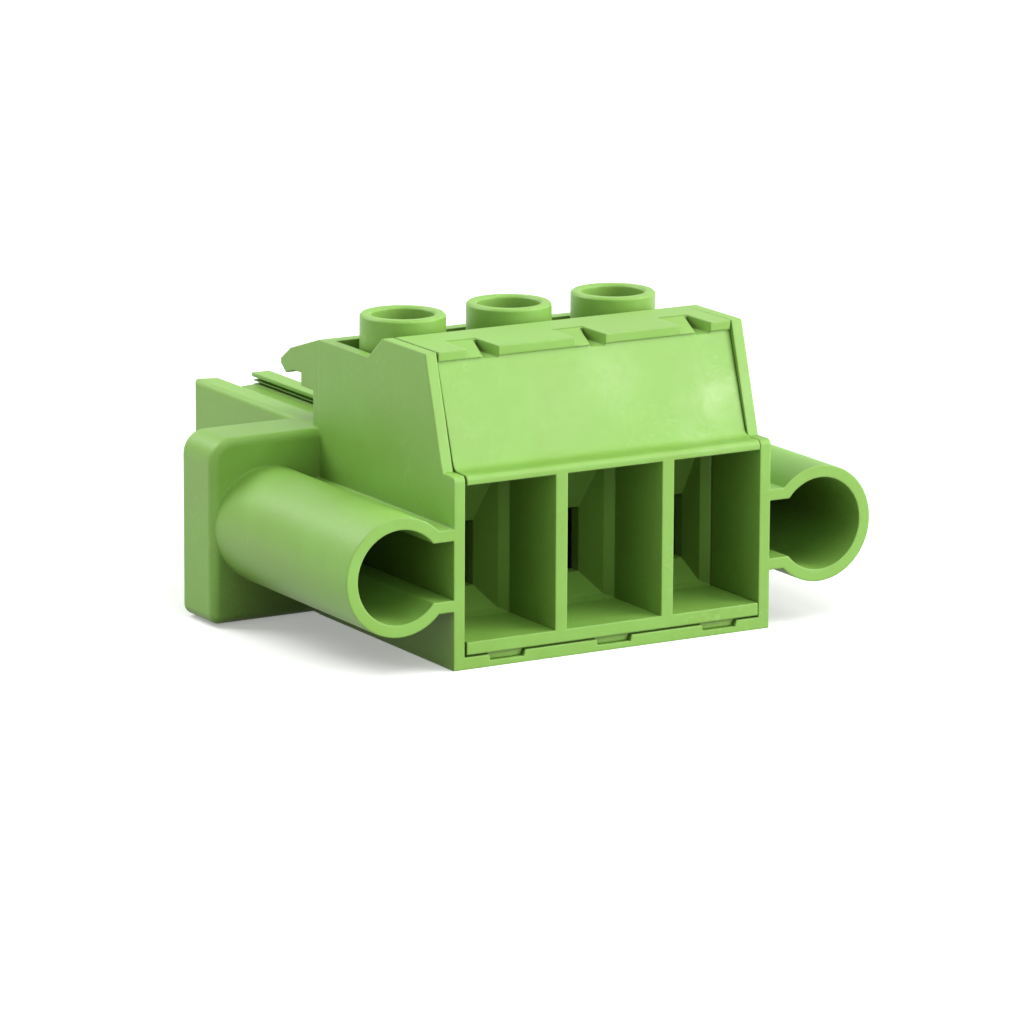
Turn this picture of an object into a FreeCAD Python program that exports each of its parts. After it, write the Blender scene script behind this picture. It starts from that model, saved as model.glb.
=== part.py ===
import FreeCAD, Part
import os

from FreeCAD import Vector

# A three-pole pluggable terminal block with two captive flange screws, in millimetres.
# X runs across the poles, Y runs from the wire entries to the mating end, Z is up.
# The origin is the middle of the block's footprint, on the surface that it stands on.

# Whole block
POLES = 3
PITCH = 10.16
LENGTH = 45.2                 # wire-entry face to mating face
FIT = 0.05                    # radial running fit of a turned piece in its bore
SIDE_GAP = 0.15               # insert to side wall
OVER = 0.5                    # how far a cutting shape runs past the face that it opens

# Shell: side walls, floor and deck
WALL = 1.0
END_MARGIN = 4.94             # last pole's axis to the outer face of the side wall
FLOOR = 1.0
LEDGE_Z = 16.05               # top of the upright front edge of a side wall
LEDGE_DEPTH = 1.95
BROW_DEPTH = 4.74             # front edge of the top plate
BROW_Z = 25.36
BROW_LENGTH = 7.09
RAMP_LENGTH = 2.39
SHOULDER_Z = 23.42
BACK_WALL = 1.23              # clamp chamber to the back edge of the side walls
DECK_Z = 22.2
DECK_THICKNESS = 1.0
DIVIDER = 1.11

# Screw collars on the deck
SCREW_DEPTH = 17.13
COLLAR_R = 3.59
COLLAR_BORE_R = 2.65
COLLAR_TOP = 26.17
COLLAR_RIM = 0.18

# Body behind the side walls, and its hooks over the mating rim
BODY_FOOT = 1.07              # back edge of the side walls to the foot of the body
BODY_REACH = 3.17             # back edge of the side walls to the end of the overhang
BODY_INSET = 0.1
OVERHANG_Z = 18.95            # underside of the overhang that carries the hooks
BODY_FALL = 0.311             # drop of the sloping top per millimetre of depth
HOOK_WIDTH = 2.6
HOOK_REACH = 3.55
HOOK_ROOT_Z = 20.05
HOOK_BEVEL = 1.7
HOOK_TIP_LOW = 20.3
HOOK_TIP_HIGH = 20.7
HOOK_NOSE = 0.45
HOOK_NOSE_BACK = 0.9
HOOK_THROAT = 2.2

# Plug section that enters the socket
PLUG_Z = 0.6
PLUG_TOP = 16.05              # side bands and rails
PLUG_CHANNEL = 15.0
PLUG_ROOF = 13.9
PLUG_BAND = 2.4
PLUG_BAND_FOOT = 0.4          # width and fall of the channel's sloping side
PLUG_BAND_DIP = 0.2
PLUG_BAND_FALL = 0.15         # drop of a band's top towards the channel
PLUG_ROUND = 0.5
CAVITY_WALL = 1.37            # back edge of the side walls to the contact cavities
CAVITY_HALF = 3.7
CAVITY_BOTTOM = 3.4
CAVITY_TOP = 12.8
FACE_PLATE = 1.4
WINDOW_HALF_X = 3.0
WINDOW_HALF_Z = 2.3
WINDOW_LEAD = 0.45
RAIL_X = 7.58                 # middle plane to the near side of a rail
RAIL_WIDTH = 1.7
RAIL_LIP = 0.2                # overhang and height of the rail's outer lip
RAIL_LIP_HEIGHT = 0.33
RAIL_GROOVES = 2
RAIL_GROOVE = 0.45
RAIL_GROOVE_HEIGHT = 0.24
RAIL_GROOVE_LIFT = 0.08
RAIL_GROOVE_PITCH = 0.36

# Screw tubes beside the body, with a neck that opens to the side wall
TUBE_X = 20.05
TUBE_Z = 8.36
TUBE_R = 4.94
TUBE_BORE_R = 3.93
NECK_HALF = 2.47
NECK_RIB = 0.95

# Flange blocks at the ends of the tubes
FLANGE_X = 25.3
FLANGE_START = 22.4
FLANGE_END = 27.95
FLANGE_BOTTOM = 0.2
FLANGE_TOP = 15.9
FLANGE_ROUND = 2.0
FLANGE_FOOT_ROUND = 0.85
FLANGE_EDGE = 0.7
SEAT_THICKNESS = 1.5

# Wire-entry insert
STRIP_Z = 1.2
CELL_BOTTOM = 2.25
CELL_TOP = 15.28
CELL_DEPTH = 7.4
FUNNEL_STEP = 0.7
FUNNEL_SILL = 0.3
FUNNEL_LINTEL = 0.9
MOUTH_DEPTH = 10.2
MOUTH_HALF = 2.65
MOUTH_BOTTOM = 4.2
MOUTH_TOP = 9.7
INSERT_BACK = 11.3
PLATE_THICKNESS = 1.2
PLATE_STEP = 0.2
PLATE_EDGE = 0.78
INSERT_SKIN = 1.2
LEDGE_WEB = 1.1
INSERT_SHIFT = 0.08
LIP_ROUND = 0.45
CATCH_WIDTH = 3.25
CATCH_DROP = 0.65
CATCH_START = 0.4
CATCH_DEPTH = 1.2
CATCH_SLANT = 0.1
NOTCH_WIDTH = 2.9
NOTCH_OFFSET = 1.85
NOTCH_LENGTH = 3.8
NOTCH_SILL = 0.06
NOTCH_POCKET_DROP = 0.2
NOTCH_POCKET_END = 0.35
NOTCH_POCKET_WIDTH = 1.45

# Clamp cage, a folded steel sleeve round the current bar
CAGE_HALF = 3.6
CAGE_WALL = 0.85
CAGE_LENGTH = 7.4
CAGE_SPARE = 0.57             # cage to the back of its chamber
CAGE_FLOOR_Z = 4.0
CAGE_FLOOR = 1.4
CAGE_TOP_Z = 12.0
CAGE_TOP = 2.6
CAGE_ROUND = 0.8
CAGE_GROOVES = 3
CAGE_GROOVE = 0.35
CAGE_GROOVE_PITCH = 2.0
CAGE_SEAM = 0.12              # joint between the two layers of the folded top
CAGE_SEAM_START = 0.4
CAGE_COLLAR = 0.7

# Clamp screw
CLAMP_R = 1.95
CLAMP_HEAD = 2.6
CLAMP_HEAD_GAP = 0.1
CLAMP_HEAD_EDGE = 0.25
CLAMP_SLOT = 1.0
CLAMP_SLOT_DEPTH = 1.3
CLAMP_POINT = 0.4
CLAMP_TIP_GAP = 0.05

# Socket contact and its over-spring
BAR_HALF = 2.3
BAR_LEAD = 0.83               # bar's front end to the front of the cage
BAR_Z = 9.9
BAR = 1.6
CONTACT_Z = 8.1
FORK_HALF = 2.9
FORK_WEB = 1.6
LEAF = 1.0
FORK_TIP_GAP = 1.5            # leaf tips to the back of the face plate
FORK_MOUTH = 3.0
NIP_HALF = 0.6
TIP_HALF = 1.5
SPRING = 0.4
SPRING_SETBACK = 3.0          # start of the cavity to the spring's band
SPRING_BAND = 3.0
SPRING_ARM_HALF = 1.7
SPRING_ARM_STOP = 0.5
SEATED = 0.02                 # play between the spring and the leaves
FORK_LIP = 0.8
EAR_SETBACK = 0.2
WEB_SETBACK = 0.4

# Captive flange screw and its retaining ring
FLANGE_HEAD_R = 2.75
FLANGE_HEAD = 2.0
FLANGE_HEAD_EDGE = 0.3
FLANGE_SLOT = 0.8
FLANGE_SLOT_DEPTH = 1.0
FLANGE_POINT = 0.35
NECK_R = 1.25
THREAD_R = 1.5
THREAD_REACH = 6.55           # flange's back face to the screw's tip
RING_R = 2.4
RING = 0.8
RING_MOUTH = 1.0
RING_POCKET_R = 2.7
RING_SPARE = 0.15             # ring to the flange's back face
PLAY = 1.5

# Places that follow from the sizes above
BODY_HALF = PITCH * (POLES - 1) / 2 + END_MARGIN
INNER_HALF = BODY_HALF - WALL
PLUG_HALF = BODY_HALF - BODY_INSET
CELL_HALF = (PITCH - DIVIDER) / 2
POLE_X = [PITCH * (i - (POLES - 1) / 2) for i in range(POLES)]
WALL_X = [PITCH * (i - POLES / 2 + 1) for i in range(POLES - 1)]
BROW_END = BROW_DEPTH + BROW_LENGTH
CAGE_FRONT = SCREW_DEPTH - CAGE_LENGTH / 2
CAGE_BACK = SCREW_DEPTH + CAGE_LENGTH / 2
CHAMBER_BACK = CAGE_BACK + CAGE_SPARE
WALL_LENGTH = CHAMBER_BACK + BACK_WALL
FOOT_DEPTH = WALL_LENGTH + BODY_FOOT
BODY_DEPTH = WALL_LENGTH + BODY_REACH
CAVITY_DEPTH = WALL_LENGTH + CAVITY_WALL
BAR_FRONT = CAGE_FRONT - BAR_LEAD
BAR_TOP = BAR_Z + BAR
SPRING_START = CAVITY_DEPTH + SPRING_SETBACK
WEB_BACK = CAVITY_DEPTH + WEB_SETBACK + FORK_WEB
FORK_TIP = LENGTH - FACE_PLATE - FORK_TIP_GAP
FORK_NIP = FORK_TIP - FORK_MOUTH
RING_START = FLANGE_END - RING_SPARE - RING
SEAT_DEPTH = RING_START - PLAY - SEAT_THICKNESS
THREAD_END = FLANGE_END + THREAD_REACH


def at(depth):
    """Y of a plane that lies this far behind the wire-entry face."""
    return depth - LENGTH / 2


def block(x0, x1, d0, d1, z0, z1):
    """Box between two X, two depths and two Z."""
    return Part.makeBox(x1 - x0, d1 - d0, z1 - z0, Vector(x0, at(d0), z0))


def prism_x(points, x0, x1):
    """Outline of (depth, Z) points, drawn out along X."""
    ring = [Vector(x0, at(d), z) for d, z in points]
    return Part.Face(Part.makePolygon(ring + ring[:1])).extrude(Vector(x1 - x0, 0, 0))


def prism_y(points, d0, d1):
    """Outline of (X, Z) points, drawn out along Y."""
    ring = [Vector(x, at(d0), z) for x, z in points]
    return Part.Face(Part.makePolygon(ring + ring[:1])).extrude(Vector(0, d1 - d0, 0))


def rod_y(x, z, radius, d0, d1):
    """Round bar along Y."""
    return Part.makeCylinder(radius, d1 - d0, Vector(x, at(d0), z), Vector(0, 1, 0))


def rod_z(x, depth, radius, z0, z1):
    """Round bar along Z."""
    return Part.makeCylinder(radius, z1 - z0, Vector(x, at(depth), z0), Vector(0, 0, 1))


def taper(box_a, depth_a, box_b, depth_b):
    """Straight-sided funnel between two upright rectangles (x0, x1, z0, z1)."""
    wires = []
    for (x0, x1, z0, z1), depth in ((box_a, depth_a), (box_b, depth_b)):
        ring = [Vector(x, at(depth), z) for x, z in ((x0, z0), (x1, z0), (x1, z1), (x0, z1))]
        wires.append(Part.makePolygon(ring + ring[:1]))
    return Part.makeLoft(wires, True, True)


def joined(shapes):
    """One solid from shapes that touch or overlap."""
    return shapes[0].fuse(shapes[1:]).removeSplitter()


def mirrored(shape):
    """The same shape on the other side of the block's middle plane."""
    return shape.mirror(Vector(0, 0, 0), Vector(1, 0, 0))


def edges_along(shape, direction, test):
    """Straight edges of a shape along one direction that pass a test of their midpoint."""
    found = []
    for edge in shape.Edges:
        if not isinstance(edge.Curve, Part.Line):
            continue
        if abs(edge.Curve.Direction.dot(direction)) > 0.999 and test(edge.CenterOfMass):
            found.append(edge)
    return found


def side_wall():
    """The left side wall: upright front edge, sloping brow, ramp and low shoulder."""
    outline = [(0, 0), (0, LEDGE_Z), (LEDGE_DEPTH, LEDGE_Z), (BROW_DEPTH, BROW_Z), (BROW_END, BROW_Z),
               (BROW_END + RAMP_LENGTH, SHOULDER_Z), (WALL_LENGTH, SHOULDER_Z), (WALL_LENGTH, 0)]
    wall = prism_x(outline, -BODY_HALF, -INNER_HALF)
    front_top = edges_along(wall, Vector(1, 0, 0), lambda c: c.y < at(0.1) and c.z > LEDGE_Z - 0.1)
    return wall.makeFillet(LIP_ROUND, front_top)


def rear_body():
    """The block behind the clamp chambers, with its sloping top, overhang and two end hooks."""
    body_top = SHOULDER_Z - BODY_FALL * (BODY_DEPTH - WALL_LENGTH)
    outline = [(CHAMBER_BACK, 0), (CHAMBER_BACK, SHOULDER_Z), (WALL_LENGTH, SHOULDER_Z),
               (BODY_DEPTH, body_top), (BODY_DEPTH, OVERHANG_Z), (FOOT_DEPTH, OVERHANG_Z), (FOOT_DEPTH, 0)]
    body = prism_x(outline, -PLUG_HALF, PLUG_HALF)
    tip = BODY_DEPTH + HOOK_REACH
    bevel = tip - HOOK_BEVEL
    claw = [(BODY_DEPTH, HOOK_ROOT_Z), (BODY_DEPTH, body_top),
            (bevel, SHOULDER_Z - BODY_FALL * (bevel - WALL_LENGTH)),
            (tip, HOOK_TIP_HIGH), (tip, HOOK_TIP_LOW),
            (tip - HOOK_NOSE_BACK, HOOK_ROOT_Z - HOOK_NOSE), (tip - HOOK_THROAT, HOOK_ROOT_Z)]
    left = prism_x(claw, -PLUG_HALF, -PLUG_HALF + HOOK_WIDTH)
    return [body, left, mirrored(left)]


def plug_section():
    """The part that enters the socket: raised side bands, a channel and a rail beside each, low roof."""
    band = PLUG_HALF - PLUG_BAND
    rail = RAIL_X + RAIL_WIDTH
    side = rail - RAIL_LIP
    right = [(RAIL_X, PLUG_ROOF), (RAIL_X, PLUG_TOP), (rail, PLUG_TOP), (rail, PLUG_TOP - RAIL_LIP_HEIGHT),
             (side, PLUG_TOP - RAIL_LIP_HEIGHT), (side, PLUG_CHANNEL),
             (band - PLUG_BAND_FOOT, PLUG_CHANNEL - PLUG_BAND_DIP), (band, PLUG_CHANNEL),
             (band, PLUG_TOP - PLUG_BAND_FALL), (PLUG_HALF, PLUG_TOP), (PLUG_HALF, PLUG_Z)]
    left = [(-x, z) for x, z in reversed(right)]
    body = prism_y(left + right, FOOT_DEPTH, LENGTH)
    corners = edges_along(body, Vector(0, 1, 0), lambda c: abs(c.x) > PLUG_HALF - 0.01)
    corners += edges_along(body, Vector(0, 0, 1),
                           lambda c: abs(c.x) > PLUG_HALF - 0.01 and c.y > at(LENGTH - 0.01))
    body = body.makeFillet(PLUG_ROUND, corners)
    grooves = []
    for row in range(RAIL_GROOVES):
        z = PLUG_CHANNEL + RAIL_GROOVE_LIFT + row * RAIL_GROOVE_PITCH
        groove = block(side - RAIL_GROOVE, side + RAIL_LIP, FOOT_DEPTH, LENGTH + OVER,
                       z, z + RAIL_GROOVE_HEIGHT)
        grooves += [groove, mirrored(groove)]
    return body.cut(grooves)


def flange_block():
    """The left flange: a block with a well rounded top edge, a sharper foot and soft ends."""
    outer = block(-FLANGE_X, -INNER_HALF, FLANGE_START, FLANGE_END, FLANGE_BOTTOM, FLANGE_TOP)
    for radius, height in ((FLANGE_ROUND, FLANGE_TOP), (FLANGE_FOOT_ROUND, FLANGE_BOTTOM)):
        corner = edges_along(outer, Vector(0, 1, 0),
                             lambda c: c.x < -FLANGE_X + 0.01 and abs(c.z - height) < 0.01)
        outer = outer.makeFillet(radius, corner)
    rims = [edge for edge in outer.Edges if edge.CenterOfMass.x < -BODY_HALF - FLANGE_EDGE
            and min(abs(edge.CenterOfMass.y - at(depth)) for depth in (FLANGE_START, FLANGE_END)) < 1e-6]
    return outer.makeFillet(FLANGE_EDGE, rims)


def screw_tube():
    """The left screw tube with its two neck ribs, before its bore is cut."""
    ribs = []
    end = FLANGE_START + FLANGE_EDGE
    for side in (-1, 1):
        z0 = TUBE_Z + side * NECK_HALF
        z1 = z0 + side * NECK_RIB
        ribs.append(block(-TUBE_X, -INNER_HALF, 0, end, min(z0, z1), max(z0, z1)))
    return [rod_y(-TUBE_X, TUBE_Z, TUBE_R, 0, end)] + ribs


def tube_hollow():
    """What is cut from the left tube: keyhole bore, screw seat and ring pocket."""
    bore = rod_y(-TUBE_X, TUBE_Z, TUBE_BORE_R, -OVER, SEAT_DEPTH)
    neck = block(-TUBE_X, -BODY_HALF, -OVER, SEAT_DEPTH, TUBE_Z - NECK_HALF, TUBE_Z + NECK_HALF)
    hole = rod_y(-TUBE_X, TUBE_Z, THREAD_R + FIT, SEAT_DEPTH - OVER, FLANGE_END + OVER)
    pocket = rod_y(-TUBE_X, TUBE_Z, RING_POCKET_R, SEAT_DEPTH + SEAT_THICKNESS, FLANGE_END + OVER)
    return joined([bore, neck, hole, pocket])


def collar(x):
    """Round collar over one clamp screw, with a softened rim."""
    low = DECK_Z - DECK_THICKNESS
    ring = rod_z(x, SCREW_DEPTH, COLLAR_R, low, COLLAR_TOP)
    top = [e for e in ring.Edges if abs(e.CenterOfMass.z - COLLAR_TOP) < 1e-6]
    return ring.makeChamfer(COLLAR_RIM, top)


def pole_hollow(x):
    """What is cut from the shell for one pole, from the screw bore to the mating window."""
    bore = rod_z(x, SCREW_DEPTH, COLLAR_BORE_R, DECK_Z - DECK_THICKNESS - OVER, COLLAR_TOP + OVER)
    cup = Part.makeCone(COLLAR_BORE_R, COLLAR_BORE_R + COLLAR_RIM, COLLAR_RIM,
                        Vector(x, at(SCREW_DEPTH), COLLAR_TOP - COLLAR_RIM))
    pass_half = BAR_HALF + SPRING + FIT
    slot = block(x - pass_half, x + pass_half, CHAMBER_BACK - OVER, CAVITY_DEPTH + OVER,
                 CONTACT_Z - FORK_HALF - SPRING - 2 * FIT, BAR_TOP)
    cavity = block(x - CAVITY_HALF, x + CAVITY_HALF, CAVITY_DEPTH, LENGTH - FACE_PLATE,
                   CAVITY_BOTTOM, CAVITY_TOP)
    window = block(x - WINDOW_HALF_X, x + WINDOW_HALF_X, LENGTH - FACE_PLATE - OVER, LENGTH + OVER,
                   CONTACT_Z - WINDOW_HALF_Z, CONTACT_Z + WINDOW_HALF_Z)
    rims = []
    for spread in (0, WINDOW_LEAD):
        half_x, half_z = WINDOW_HALF_X + spread, WINDOW_HALF_Z + spread
        rims.append((x - half_x, x + half_x, CONTACT_Z - half_z, CONTACT_Z + half_z))
    flare = taper(rims[0], LENGTH - WINDOW_LEAD, rims[1], LENGTH)
    return [bore, cup, slot, cavity, window, flare]


def catch(x, start, slack):
    """Trapezoid catch set back under the front strip; with slack, and from the front, it cuts its notch."""
    half = CATCH_WIDTH / 2 + slack
    low = STRIP_Z - CATCH_DROP - slack
    high = STRIP_Z + CATCH_SLANT
    outline = [(x - half + CATCH_SLANT, low), (x + half - CATCH_SLANT, low),
               (x + half + CATCH_SLANT, high), (x - half - CATCH_SLANT, high)]
    return prism_y(outline, start, CATCH_DEPTH + slack)


def housing_shell():
    """The outer moulding: walls, floor, deck with collars, tubes, flanges and plug section."""
    deck_low = DECK_Z - DECK_THICKNESS
    floor = block(-BODY_HALF, BODY_HALF, 0, WALL_LENGTH, 0, FLOOR)
    deck = block(-INNER_HALF, INNER_HALF, BROW_END + SIDE_GAP, CHAMBER_BACK, deck_low, DECK_Z)
    stop = block(-INNER_HALF, INNER_HALF, BROW_END + SIDE_GAP, BROW_END + SIDE_GAP + WALL,
                 deck_low, BROW_Z - PLATE_THICKNESS)
    walls = [block(x - DIVIDER / 2, x + DIVIDER / 2, INSERT_BACK + SIDE_GAP, CHAMBER_BACK, FLOOR, deck_low)
             for x in WALL_X]
    half = [side_wall(), flange_block()] + screw_tube()
    solids = [floor, deck, stop, plug_section()] + walls + rear_body() + half
    solids += [mirrored(piece) for piece in half]
    solids += [collar(x) for x in POLE_X]
    shell = solids[0].fuse(solids[1:])
    cuts = [tube_hollow(), mirrored(tube_hollow())]
    for x in POLE_X:
        cuts += pole_hollow(x) + [catch(x + INSERT_SHIFT, -OVER, FIT)]
    return shell.cut(cuts).removeSplitter()


def insert_outline():
    """Side outline of the insert: floor, lip, ledge, sloping face and top plate."""
    brow = BROW_DEPTH + PLATE_STEP
    return [(0, STRIP_Z), (0, LEDGE_Z), (LEDGE_DEPTH + PLATE_STEP, LEDGE_Z), (brow, BROW_Z - PLATE_EDGE),
            (BROW_DEPTH, BROW_Z - PLATE_EDGE), (BROW_DEPTH, BROW_Z), (BROW_END, BROW_Z),
            (BROW_END, BROW_Z - PLATE_THICKNESS), (INSERT_BACK, BROW_Z - PLATE_THICKNESS),
            (INSERT_BACK, STRIP_Z)]


def insert_hollow(x):
    """What is cut from the insert for one pole: wire cell, funnel, mouth and upper hollow."""
    outer_cell = INNER_HALF - SIDE_GAP
    left = -outer_cell - OVER if x == POLE_X[0] else x - CELL_HALF
    right = outer_cell + OVER if x == POLE_X[-1] else x + CELL_HALF
    cell = block(left, right, -OVER, CELL_DEPTH, CELL_BOTTOM, CELL_TOP)
    low, high = max(left, -outer_cell), min(right, outer_cell)
    step_depth = CELL_DEPTH + FUNNEL_STEP
    mid = (low + FUNNEL_STEP, high - FUNNEL_STEP, CELL_BOTTOM + FUNNEL_SILL, CELL_TOP - FUNNEL_LINTEL)
    throat = (x - MOUTH_HALF, x + MOUTH_HALF, MOUTH_BOTTOM, MOUTH_TOP)
    step = taper((low, high, CELL_BOTTOM, CELL_TOP), CELL_DEPTH, mid, step_depth)
    funnel = taper(mid, step_depth, throat, MOUTH_DEPTH)
    mouth = block(throat[0], throat[1], MOUTH_DEPTH, INSERT_BACK + OVER, throat[2], throat[3])
    run = (BROW_Z - PLATE_EDGE - LEDGE_Z) / (BROW_DEPTH - LEDGE_DEPTH)
    top = BROW_Z - PLATE_THICKNESS
    bottom = CELL_TOP + LEDGE_WEB
    start = LEDGE_DEPTH + PLATE_STEP + INSERT_SKIN
    loft = [(start + (bottom - LEDGE_Z) / run, bottom), (start + (top - LEDGE_Z) / run, top),
            (INSERT_BACK + OVER, top), (INSERT_BACK + OVER, bottom)]
    hollow = prism_x(loft, max(left, -outer_cell + INSERT_SKIN), min(right, outer_cell - INSERT_SKIN))
    return [cell, step, funnel, mouth, hollow]


def brow_notch(x):
    """Pointer notch in the top plate over one pole: a ramp to the front and a deeper side pocket."""
    x0, x1 = x + NOTCH_OFFSET - NOTCH_WIDTH, x + NOTCH_OFFSET
    low = BROW_Z - PLATE_EDGE
    front, back = BROW_DEPTH - OVER, BROW_DEPTH + NOTCH_LENGTH
    ramp = prism_x([(front, low), (BROW_DEPTH, low), (back, BROW_Z - NOTCH_SILL), (back, BROW_Z + OVER),
                    (front, BROW_Z + OVER)], x0, x1)
    bottom = low - NOTCH_POCKET_DROP
    wide, narrow, apex = x1 - NOTCH_POCKET_WIDTH, x1 - NOTCH_POCKET_END, back - NOTCH_POCKET_DROP
    plan = [Vector(x, at(depth), bottom)
            for x, depth in ((x1, front), (x1, apex), (narrow, apex), (wide, BROW_DEPTH), (wide, front))]
    pocket = Part.Face(Part.makePolygon(plan + plan[:1])).extrude(Vector(0, 0, BROW_Z + OVER - bottom))
    return [ramp, pocket]


def wire_entry_insert():
    """The inner moulding that closes the clamp chambers: cells, funnels, sloping face and plate."""
    half = INNER_HALF - SIDE_GAP
    body = prism_x(insert_outline(), -half, half)
    lip = edges_along(body, Vector(1, 0, 0), lambda c: c.y < at(0.1) and c.z > LEDGE_Z - 0.1)
    body = body.makeFillet(LIP_ROUND, lip)
    bend = edges_along(body, Vector(1, 0, 0),
                       lambda c: abs(c.y - at(LEDGE_DEPTH + PLATE_STEP)) < 0.01 and abs(c.z - LEDGE_Z) < 0.01)
    body = body.makeFillet(2 * LIP_ROUND, bend)
    cuts = []
    for x in POLE_X:
        cuts += insert_hollow(x) + brow_notch(x)
    body = body.cut(cuts).fuse([catch(x, CATCH_START, 0) for x in POLE_X]).removeSplitter()
    body.translate(Vector(INSERT_SHIFT, 0, 0))
    return body


def clamp_cage(x):
    """Folded sleeve: floor, two cheeks and a thick threaded top."""
    low = CAGE_FLOOR_Z - CAGE_FLOOR
    high = CAGE_TOP_Z + CAGE_TOP
    sleeve = block(x - CAGE_HALF, x + CAGE_HALF, CAGE_FRONT, CAGE_BACK, low, high)
    sleeve = sleeve.makeFillet(CAGE_ROUND, edges_along(sleeve, Vector(0, 1, 0), lambda c: True))
    inner = CAGE_HALF - CAGE_WALL
    hollow = block(x - inner, x + inner, CAGE_FRONT - OVER, CAGE_BACK + OVER, CAGE_FLOOR_Z, CAGE_TOP_Z)
    thread = rod_z(x, SCREW_DEPTH, CLAMP_R + FIT, CAGE_TOP_Z - OVER, high + OVER)
    grooves = []
    for row in range(CAGE_GROOVES):
        middle = SCREW_DEPTH + CAGE_GROOVE_PITCH * (row - (CAGE_GROOVES - 1) / 2)
        vee = [(middle - CAGE_GROOVE, CAGE_FLOOR_Z), (middle, CAGE_FLOOR_Z - CAGE_GROOVE),
               (middle + CAGE_GROOVE, CAGE_FLOOR_Z)]
        grooves.append(prism_x(vee, x - inner, x + inner))
    fold = CAGE_TOP_Z + CAGE_TOP / 2
    seam = block(x - inner + CAGE_SEAM_START, x + CAGE_HALF + OVER, CAGE_FRONT - OVER, CAGE_BACK + OVER,
                 fold - CAGE_SEAM / 2, fold + CAGE_SEAM / 2)
    seam = seam.cut(rod_z(x, SCREW_DEPTH, CLAMP_R + CAGE_COLLAR, CAGE_TOP_Z, high))
    return sleeve.cut([hollow, thread, seam] + grooves)


def clamp_screw(x):
    """Slotted clamp screw whose head turns in the collar and whose tip bears on the bar."""
    tip = BAR_TOP + CLAMP_TIP_GAP
    head_low = DECK_Z - DECK_THICKNESS + CLAMP_HEAD_GAP
    head_high = head_low + CLAMP_HEAD
    shank = rod_z(x, SCREW_DEPTH, CLAMP_R, tip, head_low)
    point = [e for e in shank.Edges if abs(e.CenterOfMass.z - tip) < 1e-6]
    shank = shank.makeChamfer(CLAMP_POINT, point)
    head = rod_z(x, SCREW_DEPTH, COLLAR_BORE_R - FIT, head_low, head_high)
    rim = [e for e in head.Edges if abs(e.CenterOfMass.z - head_high) < 1e-6]
    head = head.makeChamfer(CLAMP_HEAD_EDGE, rim)
    slot = block(x - COLLAR_BORE_R, x + COLLAR_BORE_R,
                 SCREW_DEPTH - CLAMP_SLOT / 2, SCREW_DEPTH + CLAMP_SLOT / 2,
                 head_high - CLAMP_SLOT_DEPTH, head_high + OVER)
    return joined([shank, head]).cut(slot)


def fork_line(side):
    """Outer and inner line of one leaf, from the web to the flared tip."""
    inner = [(WEB_BACK, FORK_HALF - LEAF), (FORK_NIP, NIP_HALF), (FORK_TIP, TIP_HALF)]
    outer = [(FORK_TIP, TIP_HALF + FORK_LIP), (FORK_NIP, NIP_HALF + LEAF), (WEB_BACK, FORK_HALF)]
    return [(d, CONTACT_Z + side * z) for d, z in inner], [(d, CONTACT_Z + side * z) for d, z in outer]


def socket_contact(x):
    """Stamped current bar that ends in a two-leaf fork for the header's blade."""
    bar = block(x - BAR_HALF, x + BAR_HALF, BAR_FRONT, WEB_BACK, BAR_Z, BAR_TOP)
    web = block(x - BAR_HALF, x + BAR_HALF, WEB_BACK - FORK_WEB, WEB_BACK, CONTACT_Z - FORK_HALF, BAR_TOP)
    ears = block(x - BAR_HALF - SPRING - FIT, x + BAR_HALF + SPRING + FIT, CHAMBER_BACK + EAR_SETBACK,
                 CAVITY_DEPTH, BAR_Z, BAR_TOP)
    leaves = []
    for side in (-1, 1):
        inner, outer = fork_line(side)
        leaves.append(prism_x(inner + outer, x - BAR_HALF, x + BAR_HALF))
    return joined([bar, web, ears] + leaves)


def contact_spring(x):
    """Steel over-spring: a band round the leaves near their root and an arm along each leaf."""
    slope = (NIP_HALF + LEAF - FORK_HALF) / (FORK_NIP - WEB_BACK)
    arms = []
    for side in (-1, 1):
        def outer(depth):
            return FORK_HALF + slope * (depth - WEB_BACK) + SEATED
        for d0, d1, half in ((SPRING_START, SPRING_START + SPRING_BAND, BAR_HALF + SEATED + SPRING),
                             (SPRING_START, FORK_NIP - SPRING_ARM_STOP, SPRING_ARM_HALF)):
            line = [(d0, outer(d0)), (d1, outer(d1)), (d1, outer(d1) + SPRING), (d0, outer(d0) + SPRING)]
            arms.append(prism_x([(d, CONTACT_Z + side * z) for d, z in line], x - half, x + half))
    d0, d1 = SPRING_START, SPRING_START + SPRING_BAND
    z0, z1 = outer(d0) + SPRING, outer(d1) + SPRING
    ring = [(d0, CONTACT_Z - z0), (d0, CONTACT_Z + z0), (d1, CONTACT_Z + z1), (d1, CONTACT_Z - z1)]
    for side in (-1, 1):
        x0 = x + side * (BAR_HALF + SEATED)
        x1 = x0 + side * SPRING
        arms.append(prism_x(ring, min(x0, x1), max(x0, x1)))
    return joined(arms)


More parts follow.
